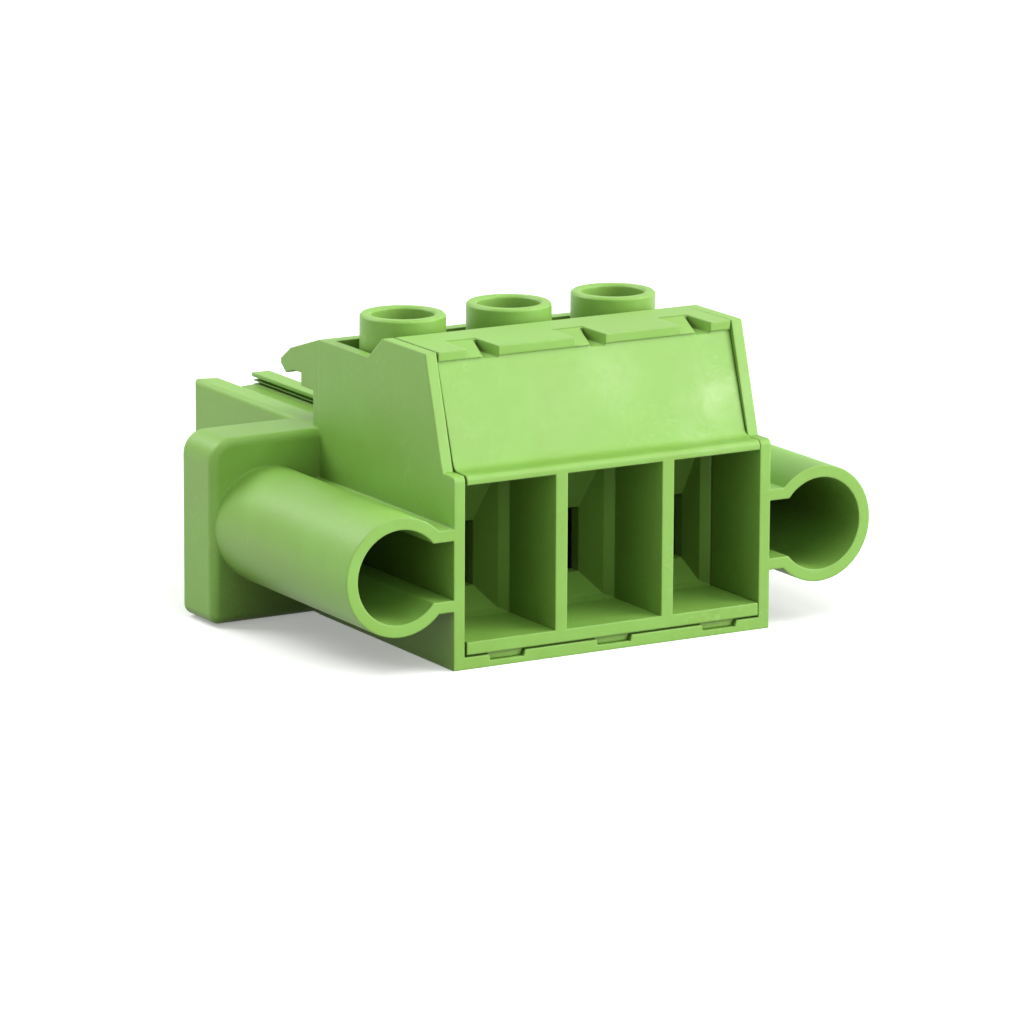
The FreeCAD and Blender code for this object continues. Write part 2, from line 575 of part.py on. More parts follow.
def flange_screw(x):
    """Slotted captive screw: head in the tube, plain neck under the ring, thread behind the flange."""
    front = SEAT_DEPTH - FLANGE_HEAD
    head = rod_y(x, TUBE_Z, FLANGE_HEAD_R, front, SEAT_DEPTH)
    rim = [e for e in head.Edges if abs(e.CenterOfMass.y - at(front)) < 1e-6]
    head = head.makeChamfer(FLANGE_HEAD_EDGE, rim)
    shank = rod_y(x, TUBE_Z, THREAD_R, SEAT_DEPTH, THREAD_END)
    point = [e for e in shank.Edges if abs(e.CenterOfMass.y - at(THREAD_END)) < 1e-6]
    shank = shank.makeChamfer(FLANGE_POINT, point)
    groove = rod_y(x, TUBE_Z, 2 * THREAD_R, RING_START, RING_START + RING)
    groove = groove.cut(rod_y(x, TUBE_Z, NECK_R, RING_START, RING_START + RING))
    slot = block(x - FLANGE_HEAD_R, x + FLANGE_HEAD_R, front - OVER, front + FLANGE_SLOT_DEPTH,
                 TUBE_Z - FLANGE_SLOT / 2, TUBE_Z + FLANGE_SLOT / 2)
    return joined([head, shank]).cut([groove, slot])


def retaining_ring(x):
    """Open spring ring in the screw's groove; it stops the screw from falling out of the flange."""
    ring = rod_y(x, TUBE_Z, RING_R, RING_START + SEATED, RING_START + RING - SEATED)
    bore = rod_y(x, TUBE_Z, NECK_R + FIT, RING_START, RING_START + RING)
    mouth = block(x - RING_MOUTH, x + RING_MOUTH, RING_START, RING_START + RING,
                  TUBE_Z - RING_R - OVER, TUBE_Z)
    return ring.cut([bore, mouth])


def build():
    """Every piece of the block, by the name of its node."""
    pieces = {"housing_shell": housing_shell(), "wire_entry_insert": wire_entry_insert()}
    for number, x in enumerate(POLE_X, start=1):
        pieces[f"clamp_cage_{number}"] = clamp_cage(x)
        pieces[f"clamp_screw_{number}"] = clamp_screw(x)
        pieces[f"socket_contact_{number}"] = socket_contact(x)
        pieces[f"contact_spring_{number}"] = contact_spring(x)
    for name, x in (("left", -TUBE_X), ("right", TUBE_X)):
        pieces[f"flange_screw_{name}"] = flange_screw(x)
        pieces[f"retaining_ring_{name}"] = retaining_ring(x)
    return pieces


os.makedirs("parts", exist_ok=True)
for node, shape in build().items():
    solids = shape.Solids
    print(node, "solids", len(solids), "valid", shape.isValid(), "volume", round(shape.Volume, 2))
    solid = solids[0] if len(solids) == 1 else shape
    solid.exportStep(f"parts/{node}.step")
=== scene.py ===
"""Studio scene of a three-pole pluggable terminal block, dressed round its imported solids."""
import logging
import math
from dataclasses import dataclass
from enum import Enum
from typing import Iterable

import bmesh
import bpy
from mathutils import Matrix, Vector


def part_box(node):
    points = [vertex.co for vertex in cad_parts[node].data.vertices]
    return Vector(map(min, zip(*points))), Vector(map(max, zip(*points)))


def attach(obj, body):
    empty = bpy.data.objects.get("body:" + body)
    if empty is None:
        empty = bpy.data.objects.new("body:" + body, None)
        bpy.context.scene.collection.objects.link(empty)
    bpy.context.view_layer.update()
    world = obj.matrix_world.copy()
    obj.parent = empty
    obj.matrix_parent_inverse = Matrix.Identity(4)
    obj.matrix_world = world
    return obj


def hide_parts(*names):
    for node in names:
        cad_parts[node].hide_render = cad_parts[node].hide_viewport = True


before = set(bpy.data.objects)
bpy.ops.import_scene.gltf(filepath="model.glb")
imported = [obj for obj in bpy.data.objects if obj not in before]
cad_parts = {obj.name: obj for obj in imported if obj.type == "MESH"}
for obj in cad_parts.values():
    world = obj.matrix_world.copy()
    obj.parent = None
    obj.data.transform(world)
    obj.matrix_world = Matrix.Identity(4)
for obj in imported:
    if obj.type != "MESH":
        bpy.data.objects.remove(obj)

log = logging.getLogger("terminal_block")
logging.basicConfig(level=logging.INFO, format="%(name)s: %(message)s")

MM = 0.001
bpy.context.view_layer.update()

Inputs = dict[str | int, object]
Span = tuple[float, float]
Stops = Iterable[tuple[float, str]]

# Where a noise pattern counts as its low and its high end, for the roughness.
GLOSS_SPAN: Span = (0.3, 0.7)
# Rays that find the rounded edges and the open air round a point.
EDGE_SAMPLES = 6
OPENNESS_SAMPLES = 8
# Depth of a 60 degree outer thread for each millimetre of its pitch.
THREAD_DEPTH_PER_PITCH = 0.6134
# Faces of a turned screw that meet at less than this are shaded as one.
SMOOTH_DEG = 40.0


def linear(code: str) -> tuple[float, float, float, float]:
    """Turns a colour written in sRGB, such as #82AF4A, into the linear colour that shaders take."""
    tones = [int(code[start:start + 2], 16) / 255 for start in (1, 3, 5)]
    return (*[tone / 12.92 if tone <= 0.04045 else ((tone + 0.055) / 1.055) ** 2.4 for tone in tones], 1.0)


def direction(azimuth_deg: float, elevation_deg: float) -> Vector:
    """Which way a place lies as the block sees it.

    Args:
        azimuth_deg: Turned from the block's front towards its right.
        elevation_deg: Raised from the floor.

    Returns:
        The unit vector towards the place.
    """
    azimuth = math.radians(azimuth_deg)
    elevation = math.radians(elevation_deg)
    level = math.cos(elevation)
    return Vector((math.sin(azimuth) * level, -math.cos(azimuth) * level, math.sin(elevation)))


def repeats(size_mm: float) -> float:
    """Texture scale at which one feature of a pattern is this many millimetres wide."""
    return 1.0 / (size_mm * MM)


def add_node(tree: bpy.types.NodeTree, kind: str, inputs: Inputs | None = None, stops: Stops = (),
             **settings: object) -> bpy.types.Node:
    """Adds one node to a tree, with its settings and links.

    Args:
        tree: The node tree that takes the node.
        kind: The node's type, as Blender names it.
        inputs: For each input, by name or place, a value or the socket that feeds it.
        stops: For a colour ramp, each stop's place and its colour, as written in sRGB.
        settings: Other properties of the node.

    Returns:
        The new node.
    """
    node = tree.nodes.new(kind)
    for name, value in settings.items():
        setattr(node, name, value)
    for key, value in (inputs or {}).items():
        if isinstance(value, bpy.types.NodeSocket):
            tree.links.new(value, node.inputs[key])
        else:
            node.inputs[key].default_value = value
    for number, (place, code) in enumerate(stops):
        node.color_ramp.elements[number].position = place
        node.color_ramp.elements[number].color = linear(code)
    return node


def new_material(name: str) -> tuple[bpy.types.Material, bpy.types.NodeTree]:
    """A material with an empty node tree.

    Args:
        name: What the real material is.

    Returns:
        The material and its tree.
    """
    material = bpy.data.materials.new(name)
    material.use_nodes = True
    material.node_tree.nodes.clear()
    return material, material.node_tree


def seen_by_eye(tree: bpy.types.NodeTree) -> bpy.types.NodeSocket:
    """Tells the rays that look at a surface of the studio from those that carry its light.

    Args:
        tree: The tree of the floor or of the backdrop.

    Returns:
        A socket that is one for camera, glossy and transmission rays, and zero for the rest.
    """
    ray = add_node(tree, "ShaderNodeLightPath").outputs
    mirrored = add_node(tree, "ShaderNodeMath", {0: ray["Is Camera Ray"], 1: ray["Is Glossy Ray"]},
                        operation="MAXIMUM").outputs[0]
    return add_node(tree, "ShaderNodeMath", {0: mirrored, 1: ray["Is Transmission Ray"]},
                    operation="MAXIMUM").outputs[0]


class Polish(Enum):
    """How a metal surface was left: the width of its marks in millimetres."""

    # Real rolling and turning marks are finer than 0.1 mm. They are drawn this wide so that they show.
    ROLLED = 0.35
    TURNED = 0.12
    TUMBLED = 0.6


@dataclass(frozen=True)
class MouldedPolyamide:
    """Polyamide 6.6, moulded in a fine spark-eroded tool: satin, with soft edges and flow clouds."""

    name: str = "moulded_polyamide_green"
    # The dyed body is a yellowish mid green, with clouds a little lighter where the melt slowed down.
    body: str = "#82AF4A"
    cloud: str = "#87B955"
    # Faint scuffs from handling; painted sheen on the sloping front, painted edge highlights, painted shade
    # deep inside.
    scuff: str = "#A6CF80"
    painted_sheen: str = "#C2DCA0"
    edge_highlight: str = "#A4CC74"
    recess_shade: str = "#627B34"
    # Typical polyamide: IOR 1.53, and a satin tool gives a roughness near 0.4.
    ior: float = 1.53
    roughness: float = 0.43
    # The spark-eroded skin scatters part of the reflection, so it mirrors less than polished polyamide.
    specular: float = 0.34
    gloss_span: Span = (-0.04, 0.07)
    edge_radius_mm: float = 0.2
    # How far a rounded edge leans from the flat face, as a cosine, where the painted edge highlight starts
    # and is full.
    edge_lean: Span = (0.985, 0.8)
    edge_openness: Span = (0.7, 0.9)
    edge_share: float = 0.6
    cloud_mm: float = 7.0
    cloud_stops: Span = (0.35, 0.72)
    # Width of the patches that the scuffs lie in.
    patch_mm: float = 9.0
    patch_span: Span = (0.5, 0.72)
    scuff_mm: float = 1.1
    scuff_span: Span = (0.52, 0.75)
    scuff_share: float = 0.55
    # The real grain is near 0.03 mm, too fine for the render, so it is drawn this coarse to show.
    grain_mm: float = 0.16
    grain_depth_mm: float = 0.006
    grain_strength: float = 0.5
    # Painted sheen on the sloping front, stronger towards the right: middle, radius, strength.
    sheen_spots_mm: tuple[tuple[tuple[float, float, float], float, float], ...] = (
        ((11.4, -19.6, 19.4), 4.4, 0.6), ((10.2, -20.6, 16.6), 3.6, 0.5), ((2.0, -18.6, 21.8), 4.6, 0.34),
        ((-3.4, -19.2, 20.4), 4.4, 0.14))
    sheen_mm: float = 4.2
    sheen_span: Span = (0.36, 0.66)
    # How far from the next wall a face has to be before it gets no painted shade.
    reach_mm: float = 14.0
    shade_openness: Span = (0.5, 0.1)
    # Upward part of the normal at which a face counts as a floor and as a wall.
    wall_span: Span = (0.8, 0.2)

    def scuffed(self, tree: bpy.types.NodeTree, place: bpy.types.NodeSocket) -> bpy.types.NodeSocket:
        """Faint scuffs, strewn in patches: a fine pattern shows only where a wide one is strong.

        Args:
            tree: The material's tree.
            place: The surface point.

        Returns:
            How much of the scuffs' tone there is, from nothing to its full share.
        """
        patches = add_node(tree, "ShaderNodeTexNoise", {"Vector": place, "Scale": repeats(self.patch_mm),
                                                        "Detail": 2.0}).outputs["Fac"]
        where = add_node(tree, "ShaderNodeMapRange", {"Value": patches, "From Min": self.patch_span[0],
                                                      "From Max": self.patch_span[1]}).outputs["Result"]
        marks = add_node(tree, "ShaderNodeTexNoise",
                         {"Vector": place, "Scale": repeats(self.scuff_mm), "Detail": 8.0,
                          "Roughness": 0.7, "Distortion": 1.4}).outputs["Fac"]
        scuffs = add_node(tree, "ShaderNodeMapRange",
                          {"Value": marks, "From Min": self.scuff_span[0], "From Max": self.scuff_span[1],
                           "To Max": self.scuff_share}).outputs["Result"]
        return add_node(tree, "ShaderNodeMath", {0: where, 1: scuffs}, operation="MULTIPLY").outputs[0]

    def sheen_mask(self, tree: bpy.types.NodeTree, place: bpy.types.NodeSocket) -> bpy.types.NodeSocket:
        """Painted sheen: cloudy streaks that are strong near the sheen spots and absent elsewhere.

        Args:
            tree: The material's tree.
            place: The surface point.

        Returns:
            How much painted sheen there is, from nothing to the strength of the spot.
        """
        most = None
        for middle, radius, strength in self.sheen_spots_mm:
            away = add_node(tree, "ShaderNodeVectorMath", {0: place, 1: Vector(middle) * MM},
                            operation="DISTANCE").outputs["Value"]
            near = add_node(tree, "ShaderNodeMapRange", {"Value": away, "From Min": radius * MM,
                                                         "From Max": 0.0, "To Max": strength},
                            interpolation_type="SMOOTHSTEP").outputs["Result"]
            most = near if most is None else add_node(tree, "ShaderNodeMath", {0: most, 1: near},
                                                      operation="MAXIMUM").outputs[0]
        streaks = add_node(tree, "ShaderNodeTexNoise",
                           {"Vector": place, "Scale": repeats(self.sheen_mm), "Detail": 5.0,
                            "Roughness": 0.58, "Distortion": 0.5}).outputs["Fac"]
        patchy = add_node(tree, "ShaderNodeMapRange", {"Value": streaks, "From Min": self.sheen_span[0],
                                                       "From Max": self.sheen_span[1]}).outputs["Result"]
        return add_node(tree, "ShaderNodeMath", {0: most, 1: patchy}, operation="MULTIPLY").outputs[0]

    def edge_highlight_mask(self, tree: bpy.types.NodeTree, rounded: bpy.types.NodeSocket,
              openness: bpy.types.NodeSocket) -> bpy.types.NodeSocket:
        """Finds the outer edges, which get a painted highlight.

        Args:
            tree: The material's tree.
            rounded: The normal of the rounded edges.
            openness: How much open air the surface has round it, from nothing to one.

        Returns:
            The painted highlight's full share along an outer edge, and nothing on flat faces and in corners.
        """
        flat = add_node(tree, "ShaderNodeNewGeometry").outputs["Normal"]
        lean = add_node(tree, "ShaderNodeVectorMath", {0: rounded, 1: flat},
                        operation="DOT_PRODUCT").outputs["Value"]
        edge = add_node(tree, "ShaderNodeMapRange", {"Value": lean, "From Min": self.edge_lean[0],
                                                     "From Max": self.edge_lean[1]}).outputs["Result"]
        outer = add_node(tree, "ShaderNodeMapRange",
                         {"Value": openness, "From Min": self.edge_openness[0],
                          "From Max": self.edge_openness[1], "To Max": self.edge_share}).outputs["Result"]
        return add_node(tree, "ShaderNodeMath", {0: edge, 1: outer}, operation="MULTIPLY").outputs[0]

    def recess_shade_mask(self, tree: bpy.types.NodeTree, openness: bpy.types.NodeSocket) -> bpy.types.NodeSocket:
        """Finds the walls deep in the cells and tubes, which get painted shade.

        Args:
            tree: The material's tree.
            openness: How much open air the surface has round it, from nothing to one.

        Returns:
            One on such walls, and nothing on open faces and on floors, which are left without painted shade.
        """
        flat = add_node(tree, "ShaderNodeNewGeometry").outputs["Normal"]
        upward = add_node(tree, "ShaderNodeSeparateXYZ", {0: flat}).outputs["Z"]
        recess_shade = add_node(tree, "ShaderNodeMapRange", {"Value": openness, "From Min": self.shade_openness[0],
                                                     "From Max": self.shade_openness[1]}).outputs["Result"]
        wall = add_node(tree, "ShaderNodeMapRange", {"Value": upward, "From Min": self.wall_span[0],
                                                     "From Max": self.wall_span[1]}).outputs["Result"]
        return add_node(tree, "ShaderNodeMath", {0: recess_shade, 1: wall}, operation="MULTIPLY").outputs[0]

    def build(self) -> bpy.types.Material:
        """Makes the material: clouds, scuffs and painted sheen, shade and edge highlights in the colour;
        grain and rounding in the bump.

        Returns:
            The material, for both mouldings.
        """
        material, tree = new_material(self.name)
        place = add_node(tree, "ShaderNodeTexCoord").outputs["Object"]
        rounded = add_node(tree, "ShaderNodeBevel", {"Radius": self.edge_radius_mm * MM},
                           samples=EDGE_SAMPLES).outputs["Normal"]
        openness = add_node(tree, "ShaderNodeAmbientOcclusion", {"Distance": self.reach_mm * MM},
                            samples=OPENNESS_SAMPLES).outputs["AO"]
        clouds = add_node(tree, "ShaderNodeTexNoise",
                          {"Vector": place, "Scale": repeats(self.cloud_mm), "Detail": 5.0,
                           "Roughness": 0.62, "Distortion": 0.6}).outputs["Fac"]
        colour = add_node(tree, "ShaderNodeValToRGB", {"Fac": clouds},
                          stops=zip(self.cloud_stops, (self.body, self.cloud))).outputs["Color"]
        # Scuffs are wear; the sheen, the shade on deep walls and the edge highlights are painted light.
        layers = ((self.scuffed(tree, place), self.scuff), (self.sheen_mask(tree, place), self.painted_sheen),
                  (self.recess_shade_mask(tree, openness), self.recess_shade), (self.edge_highlight_mask(tree, rounded, openness), self.edge_highlight))
        for share, over in layers:
            colour = add_node(tree, "ShaderNodeMix", {"Factor": share, "A": colour, "B": linear(over)},
                              data_type="RGBA").outputs["Result"]
        glossiest, dullest = (self.roughness + change for change in self.gloss_span)
        gloss = add_node(tree, "ShaderNodeMapRange",
                         {"Value": clouds, "From Min": GLOSS_SPAN[0], "From Max": GLOSS_SPAN[1],
                          "To Min": glossiest, "To Max": dullest}).outputs["Result"]
        grain = add_node(tree, "ShaderNodeTexNoise", {"Vector": place, "Scale": repeats(self.grain_mm),
                                                      "Detail": 3.0}).outputs["Fac"]
        bump = add_node(tree, "ShaderNodeBump",
                        {"Strength": self.grain_strength, "Distance": self.grain_depth_mm * MM,
                         "Height": grain, "Normal": rounded})
        surface = add_node(tree, "ShaderNodeBsdfPrincipled",
                           {"Base Color": colour, "Roughness": gloss, "IOR": self.ior,
                            "Specular IOR Level": self.specular, "Normal": bump.outputs["Normal"]})
        add_node(tree, "ShaderNodeOutputMaterial", {"Surface": surface.outputs["BSDF"]})
        return material


@dataclass(frozen=True)
class PlatedMetal:
    """A metal piece under its plating, with the marks that its making left."""

    name: str
    light: str
    dark: str
    roughness: float
    polish: Polish
    gloss_span: Span = (-0.06, 0.08)
    stain_mm: float = 2.2
    stain_stops: Span = (0.3, 0.7)
    edge_radius_mm: float = 0.06
    mark_depth_mm: float = 0.004
    mark_strength: float = 0.4

    def build(self) -> bpy.types.Material:
        """Makes the material: slow stains in the colour, fine marks in the bump and the roughness.

        Returns:
            The material.
        """
        material, tree = new_material(self.name)
        place = add_node(tree, "ShaderNodeTexCoord").outputs["Object"]
        stains = add_node(tree, "ShaderNodeTexNoise", {"Vector": place, "Scale": repeats(self.stain_mm),
                                                       "Detail": 4.0}).outputs["Fac"]
        colour = add_node(tree, "ShaderNodeValToRGB", {"Fac": stains},
                          stops=zip(self.stain_stops, (self.dark, self.light))).outputs["Color"]
        marks = add_node(tree, "ShaderNodeTexNoise",
                         {"Vector": place, "Scale": repeats(self.polish.value), "Detail": 6.0,
                          "Roughness": 0.7}).outputs["Fac"]
        glossiest, dullest = (self.roughness + change for change in self.gloss_span)
        gloss = add_node(tree, "ShaderNodeMapRange",
                         {"Value": marks, "From Min": GLOSS_SPAN[0], "From Max": GLOSS_SPAN[1],
                          "To Min": glossiest, "To Max": dullest}).outputs["Result"]
        edges = add_node(tree, "ShaderNodeBevel", {"Radius": self.edge_radius_mm * MM},
                         samples=EDGE_SAMPLES).outputs["Normal"]
        bump = add_node(tree, "ShaderNodeBump",
                        {"Strength": self.mark_strength, "Distance": self.mark_depth_mm * MM,
                         "Height": marks, "Normal": edges})
        surface = add_node(tree, "ShaderNodeBsdfPrincipled",
                           {"Base Color": colour, "Metallic": 1.0, "Roughness": gloss,
                            "Normal": bump.outputs["Normal"]})
        add_node(tree, "ShaderNodeOutputMaterial", {"Surface": surface.outputs["BSDF"]})
        return material


# Bright zinc over steel: a bluish white metal, tumbled before plating, so its gloss is soft.
ZINC = PlatedMetal("tumbled_zinc_plated_steel", "#D3D6D9", "#AEB2B6", 0.3, Polish.TUMBLED)
# The same plating over a lathe's fine marks, which leave it brighter.
TURNED_ZINC = PlatedMetal("turned_zinc_plated_steel", "#D6D9DC", "#A8ACB1", 0.26, Polish.TURNED)
# Tin over copper alloy: a warmer and duller white than zinc, stamped from rolled strip.
TIN = PlatedMetal("tin_plated_copper_alloy", "#D8D5CD", "#B9B5AB", 0.34, Polish.ROLLED)
# Bare stainless strip: grey, smooth from the rolling mill.
SPRING = PlatedMetal("rolled_spring_steel", "#C2C3C4", "#8E9093", 0.24, Polish.ROLLED)


def dress(name: str, material: bpy.types.Material) -> None:
    """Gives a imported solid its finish.

    Args:
        name: The solid's node.
        material: The finish.
    """
    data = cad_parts[name].data
    data.materials.clear()
    data.materials.append(material)
    log.info("dressed %s in %s", name, material.name)


@dataclass(frozen=True)
class ScrewForm:
    """Sizes of one kind of slotted screw in millimetres, with places counted from the head's face."""

    head: float
    head_edge: float
    slot: float
    slot_depth: float
    crest: float
    point: float
    pitch: float
    thread_from: float
    # Ring groove: start, end and radius.
    groove: tuple[float, float, float] | None = None

    @property
    def thread_depth(self) -> float:
        """Depth of this screw's thread."""
        return THREAD_DEPTH_PER_PITCH * self.pitch


# The clamp screws bear on the current bar with a fine thread. The flange screws are M3, 0.5 mm to a turn.
CLAMP_SCREW = ScrewForm(head=2.6, head_edge=0.25, slot=1.0, slot_depth=1.3, crest=1.95, point=0.4, pitch=0.7,
                        thread_from=3.3)
FLANGE_SCREW = ScrewForm(head=2.0, head_edge=0.3, slot=0.8, slot_depth=1.0, crest=1.5, point=0.35, pitch=0.5,
                         thread_from=6.2, groove=(5.0, 5.8, 1.25))


@dataclass
class SlottedScrew:
    """One screw with its thread cut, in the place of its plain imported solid."""

    node: str
    form: ScrewForm
    along: Vector
    sides: int = 48
    rings_per_pitch: int = 12

    def outline(self, reach: float, head_radius: float) -> list[tuple[float, float, float]]:
        """Lists the rings from the head's face to the tip.

        Args:
            reach: The screw's whole length.
            head_radius: The head's radius.

        Returns:
            Each ring's place, its radius and how deep the thread is cut there.
        """
        form = self.form
        rings = [(0.0, head_radius - form.head_edge, 0.0), (form.head_edge, head_radius, 0.0),
                 (form.head, head_radius, 0.0), (form.head, form.crest, 0.0)]
        if form.groove:
            start, end, radius = form.groove
            rings += [(start, form.crest, 0.0), (start, radius, 0.0),
                      (end, radius, 0.0), (end, form.crest, 0.0)]
        step = form.pitch / self.rings_per_pitch
        tip_radius = form.crest - form.point
        for count in range(int((reach - form.thread_from) / step) + 1):
            at = form.thread_from + count * step
            fade = min(1.0, (at - form.thread_from) / form.pitch)
            rings.append((at, min(form.crest, reach - at + tip_radius), fade * form.thread_depth))
        rings.append((reach, tip_radius, 0.0))
        return rings

    def turned(self, head_face: Vector, reach: float, head_radius: float) -> bpy.types.Object:
        """Turns the screw's body and cuts its right-handed thread.

        Args:
            head_face: Middle of the head's face, in metres.
            reach: The screw's whole length in millimetres.
            head_radius: The head's radius in millimetres.

        Returns:
            The screw without its slot.
        """
        side = Vector((1, 0, 0))
        other = self.along.cross(side)
        rings = self.outline(reach, head_radius)
        sides = self.sides
        points: list[Vector] = []
        faces: list[tuple[int, ...]] = []
        for at, radius, depth in rings:
            for corner in range(sides):
                share = corner / sides
                cut = depth * (0.5 - 0.5 * math.cos(math.tau * (at / self.form.pitch - share)))
                reached = min(radius, self.form.crest - cut) if depth else radius
                spoke = side * math.cos(math.tau * share) + other * math.sin(math.tau * share)
                points.append(head_face + (self.along * at + spoke * reached) * MM)
        for ring in range(len(rings) - 1):
            for corner in range(sides):
                here = ring * sides + corner
                beside = ring * sides + (corner + 1) % sides
                faces.append((here, beside, beside + sides, here + sides))
        faces += [tuple(reversed(range(sides))), tuple(range(len(points) - sides, len(points)))]
        mesh = bpy.data.meshes.new(f"threaded_{self.node}")
        mesh.from_pydata(points, [], faces)
        screw = bpy.data.objects.new(f"threaded_{self.node}", mesh)
        bpy.context.scene.collection.objects.link(screw)
        return screw

    def slotted(self, screw: bpy.types.Object, head_face: Vector, head_radius: float) -> None:
        """Mills the driver slot across the head.

        Args:
            screw: The turned screw.
            head_face: Middle of the head's face, in metres.
            head_radius: The head's radius in millimetres.
        """
        tool = bpy.data.meshes.new("slot_mill")
        mill = bmesh.new()
        # The slot runs along X, past both sides of the head. The mill stands half out of the head's face.
        size = [3 * head_radius, self.form.slot, self.form.slot]
        size[max((1, 2), key=lambda axis: abs(self.along[axis]))] = 2 * self.form.slot_depth
        grown = Matrix.Diagonal((*[length * MM for length in size], 1.0))
        bmesh.ops.create_cube(mill, size=1.0, matrix=Matrix.Translation(head_face) @ grown)
        mill.to_mesh(tool)
        mill.free()
        cutter = bpy.data.objects.new("slot_mill", tool)
        bpy.context.scene.collection.objects.link(cutter)
        cut = screw.modifiers.new("slot", "BOOLEAN")
        cut.operation = "DIFFERENCE"
        cut.solver = "EXACT"
        cut.object = cutter
        done = bpy.data.meshes.new_from_object(screw.evaluated_get(bpy.context.evaluated_depsgraph_get()))
        screw.modifiers.clear()
        screw.data = done
        bpy.data.objects.remove(cutter)

    def build(self, material: bpy.types.Material) -> None:
        """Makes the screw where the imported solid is, and lets it ride on the solid's body.

        Args:
            material: The screw's finish.
        """
        low, high = (Vector(corner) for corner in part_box(self.node))
        middle = (low + high) / 2
        reach = abs((high - low).dot(self.along)) / MM
        head_face = middle - self.along * (reach / 2) * MM
        head_radius = (high.x - low.x) / 2 / MM
        screw = self.turned(head_face, reach, head_radius)
        self.slotted(screw, head_face, head_radius)
        screw.data.materials.clear()
        screw.data.materials.append(material)
        screw.data.shade_smooth()
        screw.data.set_sharp_from_angle(angle=math.radians(SMOOTH_DEG))
        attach(screw, self.node)
        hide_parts(self.node)
        log.info("turned %s, %.1f mm long, thread pitch %.2f mm", screw.name, reach, self.form.pitch)


@dataclass
class Mouldings:
    """The two green mouldings: the shell with its tubes and collars, and the wire-entry insert."""

    nodes: tuple[str, str] = ("housing_shell", "wire_entry_insert")
    finish: MouldedPolyamide = MouldedPolyamide()

    def build(self) -> None:
        """Dresses both mouldings in one green."""
        material = self.finish.build()
        for name in self.nodes:
            dress(name, material)


@dataclass
class Pole:
    """One pole's metal: clamp cage, clamp screw, socket contact and over-spring."""

    number: int

    def build(self, finishes: dict[str, bpy.types.Material]) -> None:
        """Dresses the pole's pieces, and makes its clamp screw.

        Args:
            finishes: The built metals by name.
        """
        dress(f"clamp_cage_{self.number}", finishes["zinc"])
        SlottedScrew(f"clamp_screw_{self.number}", CLAMP_SCREW, Vector((0, 0, -1))).build(finishes["turned"])
        dress(f"socket_contact_{self.number}", finishes["tin"])
        dress(f"contact_spring_{self.number}", finishes["spring"])


@dataclass
class ScrewFlange:
    """One captive flange screw and its ring."""

    side: str

    def build(self, finishes: dict[str, bpy.types.Material]) -> None:
        """Makes the screw and dresses its ring."""
        SlottedScrew(f"flange_screw_{self.side}", FLANGE_SCREW, Vector((0, 1, 0))).build(finishes["turned"])
        dress(f"retaining_ring_{self.side}", finishes["spring"])


@dataclass(frozen=True)
class Softbox:
    """One square lamp that faces the block, by its direction as the block sees it."""

    name: str
    azimuth_deg: float
    elevation_deg: float
    watts: float
    away_mm: float = 700.0
    size_mm: float = 420.0
    # The middle of the block.
    target_mm: tuple[float, float, float] = (0.0, 0.0, 12.0)

    def build(self) -> None:
        """Makes the lamp and aims it at the middle of the block."""
        data = bpy.data.lights.new(self.name, "AREA")
        data.shape = "SQUARE"
        data.size = self.size_mm * MM
        data.energy = self.watts
        lamp = bpy.data.objects.new(self.name, data)
        bpy.context.scene.collection.objects.link(lamp)
        lamp.location = direction(self.azimuth_deg, self.elevation_deg) * self.away_mm * MM
        lamp.rotation_mode = "QUATERNION"
        aim = Vector(self.target_mm) * MM - lamp.location
        lamp.rotation_quaternion = aim.to_track_quat("-Z", "Y")


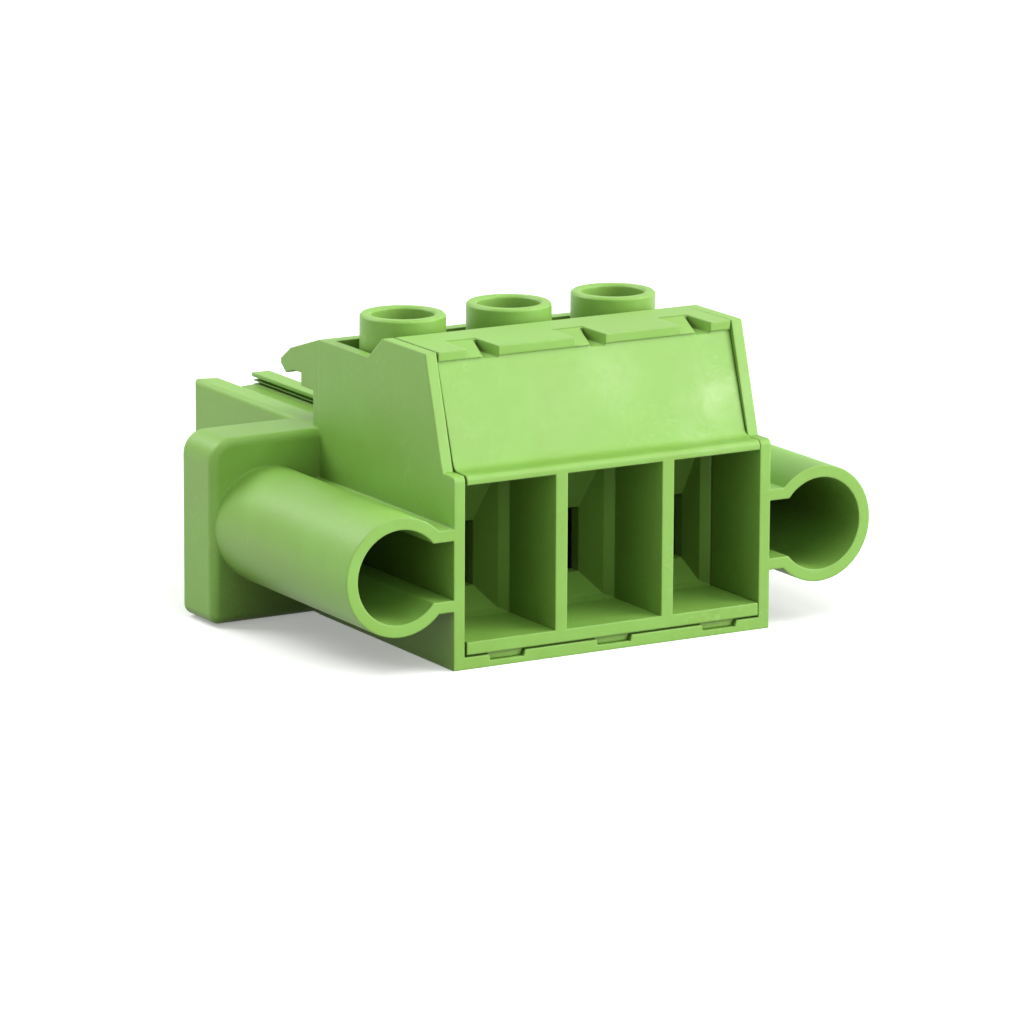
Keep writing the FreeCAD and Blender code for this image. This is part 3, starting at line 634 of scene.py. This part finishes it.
@dataclass
class Studio:
    """Pale floor, soft lamps and the camera of the photograph."""

    # The camera was solved from the photograph: turned left of the front, a little above, far away.
    azimuth_deg: float = -30.522
    elevation_deg: float = 12.786
    roll_deg: float = 0.251
    place_mm: tuple[float, float, float] = (-270.04, -464.18, 128.96)
    focal_px: float = 6500.0
    image_px: float = 1024.0
    sensor_mm: float = 36.0
    clip_m: Span = (0.01, 20.0)
    floor_mm: float = 3000.0
    # What looks at the backdrop or at the far paper sees plain white.
    backdrop: str = "#FFFFFF"
    paper: str = "#F2F2F2"
    # What the floor throws back on to the block is a little less than white paper would give.
    bounce: str = "#ADADAD"
    # The paper's own glow near the block, which leaves only the block's shadow to be seen.
    paper_lift: float = 0.3
    # Round the block the paper shows its shadow; beyond the lamps' reach it is plain white.
    lit_mm: Span = (150.0, 450.0)
    # At these levels a front face renders a little lighter than its colour is written, a side face darker.
    softboxes: tuple[Softbox, ...] = (
        Softbox("key_softbox", 43.0, 15.0, 4.0),
        Softbox("high_softbox", 70.0, 40.0, 2.4),
        Softbox("top_softbox", 5.0, 66.0, 1.7),
        Softbox("front_softbox", -8.0, 27.0, 0.95),
        Softbox("back_softbox", -145.0, 47.0, 3.7),
        Softbox("left_softbox", -90.0, 30.0, 0.35),
        Softbox("low_softbox", -70.0, 6.0, 0.7),
    )

    def camera(self) -> None:
        """Makes the camera at the photograph's place, as the scene's own."""
        data = bpy.data.cameras.new("photo_camera")
        data.sensor_width = self.sensor_mm
        data.lens = self.focal_px / self.image_px * self.sensor_mm
        data.clip_start, data.clip_end = self.clip_m
        camera = bpy.data.objects.new("photo_camera", data)
        bpy.context.scene.collection.objects.link(camera)
        roll = math.radians(self.roll_deg)
        back = direction(self.azimuth_deg, self.elevation_deg)
        level = direction(self.azimuth_deg + 90.0, 0.0)
        rise = back.cross(level)
        right = math.cos(roll) * level + math.sin(roll) * rise
        up = back.cross(right)
        turn = Matrix((right, up, back)).transposed().to_4x4()
        camera.matrix_world = Matrix.Translation(Vector(self.place_mm) * MM) @ turn
        bpy.context.scene.camera = camera

    def floor(self) -> None:
        """Makes the pale floor, which the camera sees as white outside the object's soft shadow."""
        mesh = bpy.data.meshes.new("floor")
        half = self.floor_mm * MM
        corners = [(-half, -half, 0), (half, -half, 0), (half, half, 0), (-half, half, 0)]
        mesh.from_pydata(corners, [], [(0, 1, 2, 3)])
        floor = bpy.data.objects.new("floor", mesh)
        bpy.context.scene.collection.objects.link(floor)
        material, tree = new_material("matt_white_paper")
        paper = add_node(tree, "ShaderNodeBsdfDiffuse", {"Color": linear(self.paper)})
        point = add_node(tree, "ShaderNodeNewGeometry").outputs["Position"]
        away = add_node(tree, "ShaderNodeVectorMath", {0: point}, operation="LENGTH").outputs["Value"]
        near, far = (distance * MM for distance in self.lit_mm)
        glow = add_node(tree, "ShaderNodeMapRange", {"Value": away, "From Min": near, "From Max": far,
                                                     "To Min": self.paper_lift}).outputs["Result"]
        lift = add_node(tree, "ShaderNodeEmission", {"Color": linear(self.backdrop), "Strength": glow})
        white = add_node(tree, "ShaderNodeAddShader", {0: paper.outputs["BSDF"], 1: lift.outputs["Emission"]})
        bench = add_node(tree, "ShaderNodeBsdfDiffuse", {"Color": linear(self.bounce)})
        both = add_node(tree, "ShaderNodeMixShader", {0: seen_by_eye(tree), 1: bench.outputs["BSDF"],
                                                      2: white.outputs["Shader"]})
        add_node(tree, "ShaderNodeOutputMaterial", {"Surface": both.outputs["Shader"]})
        mesh.materials.append(material)

    def world(self) -> None:
        """Makes the backdrop: white for what looks at it, and no light of its own."""
        world = bpy.data.worlds.new("white_backdrop")
        bpy.context.scene.world = world
        world.use_nodes = True
        tree = world.node_tree
        tree.nodes.clear()
        sky = add_node(tree, "ShaderNodeBackground", {"Color": linear(self.backdrop),
                                                      "Strength": seen_by_eye(tree)})
        add_node(tree, "ShaderNodeOutputWorld", {"Surface": sky.outputs["Background"]})

    def build(self) -> None:
        """Makes the camera, floor, backdrop and lamps, and sets the plain view transform."""
        self.camera()
        self.floor()
        self.world()
        for softbox in self.softboxes:
            softbox.build()
        bpy.context.scene.view_settings.view_transform = "Standard"


def main() -> None:
    """Builds the studio and dresses the block, piece by piece."""
    Studio().build()
    Mouldings().build()
    metals = {"zinc": ZINC, "turned": TURNED_ZINC, "tin": TIN, "spring": SPRING}
    finishes = {name: metal.build() for name, metal in metals.items()}
    for number in (1, 2, 3):
        Pole(number).build(finishes)
    for side in ("left", "right"):
        ScrewFlange(side).build(finishes)


if __name__ == "__main__":
    main()
